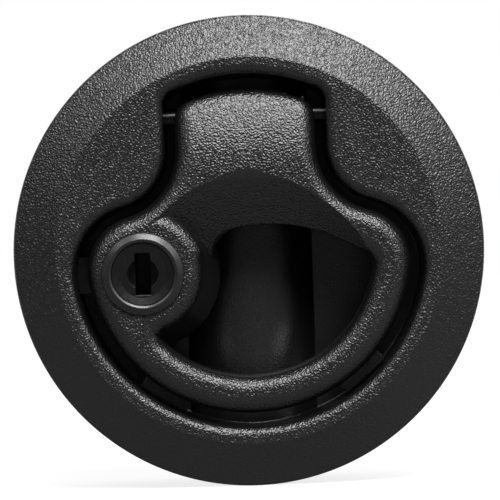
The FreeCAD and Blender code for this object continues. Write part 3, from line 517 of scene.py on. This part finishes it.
# the torsion spring round the pin: a leg in the cup's floor, coils, and a leg behind the tongue
returnSpring = {
    "wire": 0.6,       # mm
    "turns": 4,
    "frontLeg": 2.3,   # mm, from the coil's middle up to its tip
    "legSteps": 10,
    "perTurn": 24,     # steps round one turn
    "rounding": 3,     # of the wire
    "joined": 0.001,   # mm, within which the end caps join the wire
}
lowest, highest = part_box("handle_return_spring")
pinLow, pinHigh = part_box("pivot_pin")
pin = (pinLow + pinHigh) / 2
wire = returnSpring["wire"] * mm
legSteps = returnSpring["legSteps"]
mean = pin.y - lowest.y - wire / 2
firstX = lowest.x + wire / 2
lastX = highest.x - wire / 2
backEnd = highest.y
route = []
for i in range(legSteps + 1):
    route.append(Vector((firstX, backEnd + (pin.y - backEnd) * i / legSteps, pin.z - mean)))
# the coil starts below the pin, runs forwards and up, and ends in front of it
quarter = wholeTurn / 4
sweep = wholeTurn * returnSpring["turns"] + quarter
steps = int(returnSpring["perTurn"] * sweep / wholeTurn)
for i in range(1, steps + 1):
    share = i / steps
    angle = -quarter - sweep * share
    route.append(Vector((firstX + (lastX - firstX) * share, pin.y + mean * math.cos(angle),
                         pin.z + mean * math.sin(angle))))
for i in range(1, legSteps + 1):
    reach = returnSpring["frontLeg"] * mm * i / legSteps
    route.append(Vector((lastX, pin.y - mean, pin.z + reach)))
bentWire = bpy.data.curves.new("handleReturnSpring", "CURVE")
bentWire.dimensions = "3D"
bentWire.bevel_depth = wire / 2
bentWire.bevel_resolution = returnSpring["rounding"]
bentWire.use_fill_caps = True
spline = bentWire.splines.new("POLY")
spline.points.add(len(route) - 1)
for point, place in zip(spline.points, route):
    point.co = (*place, 1.0)
holder = bpy.data.objects.new("handleReturnSpring", bentWire)
bpy.context.scene.collection.objects.link(holder)
bent = holder.evaluated_get(bpy.context.evaluated_depsgraph_get())
wireMesh = bpy.data.meshes.new_from_object(bent)
bpy.data.objects.remove(holder)
returnSpringPiece = bpy.data.objects.new("handleReturnSpring", wireMesh)
bpy.context.scene.collection.objects.link(returnSpringPiece)
sealed = bmesh.new()
sealed.from_mesh(wireMesh)
bmesh.ops.remove_doubles(sealed, verts=sealed.verts, dist=returnSpring["joined"] * mm)
sealed.to_mesh(wireMesh)
sealed.free()
wireMesh.shade_smooth()
wireMesh.materials.clear()
wireMesh.materials.append(finishes["spring_steel"])
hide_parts("handle_return_spring")
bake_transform(returnSpringPiece)
print("return spring bent:", len(route), "points")

# the camera stands far off with a long lens, as for a product picture, and leans a little
camera = {
    "distance": 500,      # mm from the bezel's face
    "frameWidth": 65.51,  # mm across the picture at the bezel
    "sensor": 36.0,       # mm
    "aimX": 0.152,        # mm, the bezel sits this far left of the middle
    "aimZ": 0.012,
    "lean": 2.0,          # degrees, the object looks turned by this to the left
    "nearest": 0.01,      # metres
    "furthest": 20.0,
}
lens = bpy.data.cameras.new("camera")
lens.sensor_width = camera["sensor"]
lens.lens = lens.sensor_width * camera["distance"] / camera["frameWidth"]
lens.clip_start = camera["nearest"]
lens.clip_end = camera["furthest"]
viewer = bpy.data.objects.new("camera", lens)
bpy.context.scene.collection.objects.link(viewer)
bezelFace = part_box("cup_housing")[0].y
standing = Matrix.Translation((camera["aimX"] * mm, bezelFace - camera["distance"] * mm,
                               camera["aimZ"] * mm))
leaning = Matrix.Rotation(math.radians(camera["lean"]), 4, "Y")
upright = Matrix.Rotation(wholeTurn / 4, 4, "X")
viewer.matrix_world = standing @ leaning @ upright
bpy.context.scene.camera = viewer

# soft lamps: bearing to the right of the front and height in degrees, distance and size in metres
lamps = {
    "softboxAbove": {"bearing": 10, "height": 49, "distance": 0.75, "size": (0.42, 0.34),
                     "watts": 6.9},
    "cardLeft": {"bearing": -72, "height": 5, "distance": 0.7, "size": (0.4, 0.5),
                 "watts": 0.18},
    "cardRight": {"bearing": 58, "height": 8, "distance": 0.7, "size": (0.4, 0.5),
                  "watts": 0.34},
    "softboxFront": {"bearing": 8, "height": 36, "distance": 0.75, "size": (0.5, 0.16),
                     "watts": 0.42},
    "softboxRight": {"bearing": 42, "height": 34, "distance": 0.75, "size": (0.34, 0.34),
                     "watts": 1.35},
    "softboxLeft": {"bearing": -38, "height": 38, "distance": 0.75, "size": (0.3, 0.3),
                    "watts": 0.95},
    "softboxBehind": {"bearing": 160, "height": 50, "distance": 0.75, "size": (0.5, 0.4),
                      "watts": 2.5},
}
for name, lamp in lamps.items():
    light = bpy.data.lights.new(name, "AREA")
    light.shape = "RECTANGLE"
    light.size, light.size_y = lamp["size"]
    light.energy = lamp["watts"]
    holder = bpy.data.objects.new(name, light)
    bpy.context.scene.collection.objects.link(holder)
    bearing = math.radians(lamp["bearing"])
    height = math.radians(lamp["height"])
    towards = Vector((math.sin(bearing) * math.cos(height),
                      -math.cos(bearing) * math.cos(height), math.sin(height)))
    holder.location = towards * lamp["distance"]
    holder.rotation_euler = towards.to_track_quat("Z", "Y").to_euler()
    holder.visible_camera = False


# 1 where a ray should meet white: seen by the camera or through something clear, and mirrored
# only from behind, where it fades in over a reach
def whiteShare(tree, y, reach):
    path = addNode(tree, "ShaderNodeLightPath")
    behind = addNode(tree, "ShaderNodeMapRange", {"Value": y, "From Min": 0.0, "From Max": reach},
                     interpolation_type="SMOOTHSTEP")
    mirrored = addNode(tree, mathNode, {0: (path, "Is Glossy Ray"), 1: behind},
                       operation="MULTIPLY")
    direct = addNode(tree, mathNode, {0: (path, "Is Camera Ray"), 1: (path, "Is Transmission Ray")},
                     operation="MAXIMUM")
    return addNode(tree, mathNode, {0: direct, 1: mirrored}, operation="MAXIMUM")


# a dim grey room in front and a white one behind
room = {
    "grey": 0.05,  # strength of its light
    "reach": 0.4,  # how far back a direction leans, from 0 to 1, where it is all white
}
world = bpy.data.worlds.new("room")
bpy.context.scene.world = world
world.use_nodes = True
airTree = world.node_tree
airTree.nodes.clear()
airPlace = addNode(airTree, "ShaderNodeTexCoord")
airAxes = addNode(airTree, "ShaderNodeSeparateXYZ", {"Vector": (airPlace, "Generated")})
airWhite = whiteShare(airTree, (airAxes, "Y"), room["reach"])
dim = addNode(airTree, "ShaderNodeBackground", {"Color": linearColor("ffffff"),
                                                "Strength": room["grey"]})
bright = addNode(airTree, "ShaderNodeBackground", {"Color": linearColor("ffffff"),
                                                   "Strength": 1.0})
either = addNode(airTree, "ShaderNodeMixShader", {0: airWhite, 1: dim, 2: bright})
addNode(airTree, "ShaderNodeOutputWorld", {"Surface": either})

# the floor lies under the bezel; it is pale and keeps the shadow near the part; further off it
# looks white, and throws back less light, so that the recess mirrors a dark room
floorSize = {
    "half": 3.0,          # metres
    "grey": "7c7c7c",
    "farGrey": "2c2c2c",
    "rough": 0.9,
    "glowNear": 0.8,      # share of white that it gives off under the part
    "near": 0.03,         # metres from the part's middle
    "far": 0.3,
    "reach": 0.1,         # metres behind the part, over which mirrors start to see it white
}
floorMesh = bpy.data.meshes.new("floor")
half = floorSize["half"]
low = cadBounds[0].z
corners = [(-half, -half, low), (half, -half, low), (half, half, low), (-half, half, low)]
floorMesh.from_pydata(corners, [], [(0, 1, 2, 3)])
floor = bpy.data.objects.new("floor", floorMesh)
bpy.context.scene.collection.objects.link(floor)
paper, paperTree, paperShader = newMaterial("paleFloor", Roughness=floorSize["rough"])
paperPlace = addNode(paperTree, "ShaderNodeTexCoord")
paperAxes = addNode(paperTree, "ShaderNodeSeparateXYZ", {"Vector": (paperPlace, "Object")})
paperWhite = whiteShare(paperTree, (paperAxes, "Y"), floorSize["reach"])
away = addNode(paperTree, "ShaderNodeVectorMath", {0: (paperPlace, "Object")}, operation="LENGTH")
fading = addNode(paperTree, "ShaderNodeMapRange", {"Value": (away, "Value"),
                                                   "From Min": floorSize["near"],
                                                   "From Max": floorSize["far"]})
level = addNode(paperTree, "ShaderNodeMapRange", {"Value": (away, "Value"),
                                                  "From Min": floorSize["near"],
                                                  "From Max": floorSize["far"],
                                                  "To Min": floorSize["glowNear"],
                                                  "To Max": 1.0})
glow = addNode(paperTree, mathNode, {0: paperWhite, 1: level}, operation="MULTIPLY")
paperTone = addNode(paperTree, "ShaderNodeMix", {"Factor": fading,
                                                 colorA: linearColor(floorSize["grey"]),
                                                 colorB: linearColor(floorSize["farGrey"])},
                    data_type="RGBA")
paperTree.links.new(paperTone.outputs[mixedColor], paperShader.inputs["Base Color"])
tinted = addNode(paperTree, "ShaderNodeEmission", {"Color": linearColor("ffffff"),
                                                   "Strength": glow})
both = addNode(paperTree, "ShaderNodeAddShader", {0: paperShader, 1: tinted})
paperOut = next(n for n in paperTree.nodes if n.type == "OUTPUT_MATERIAL")
paperTree.links.new(both.outputs[0], paperOut.inputs["Surface"])
floorMesh.materials.append(paper)
print("camera, lamps and floor made")

bpy.context.scene.view_settings.view_transform = "Standard"
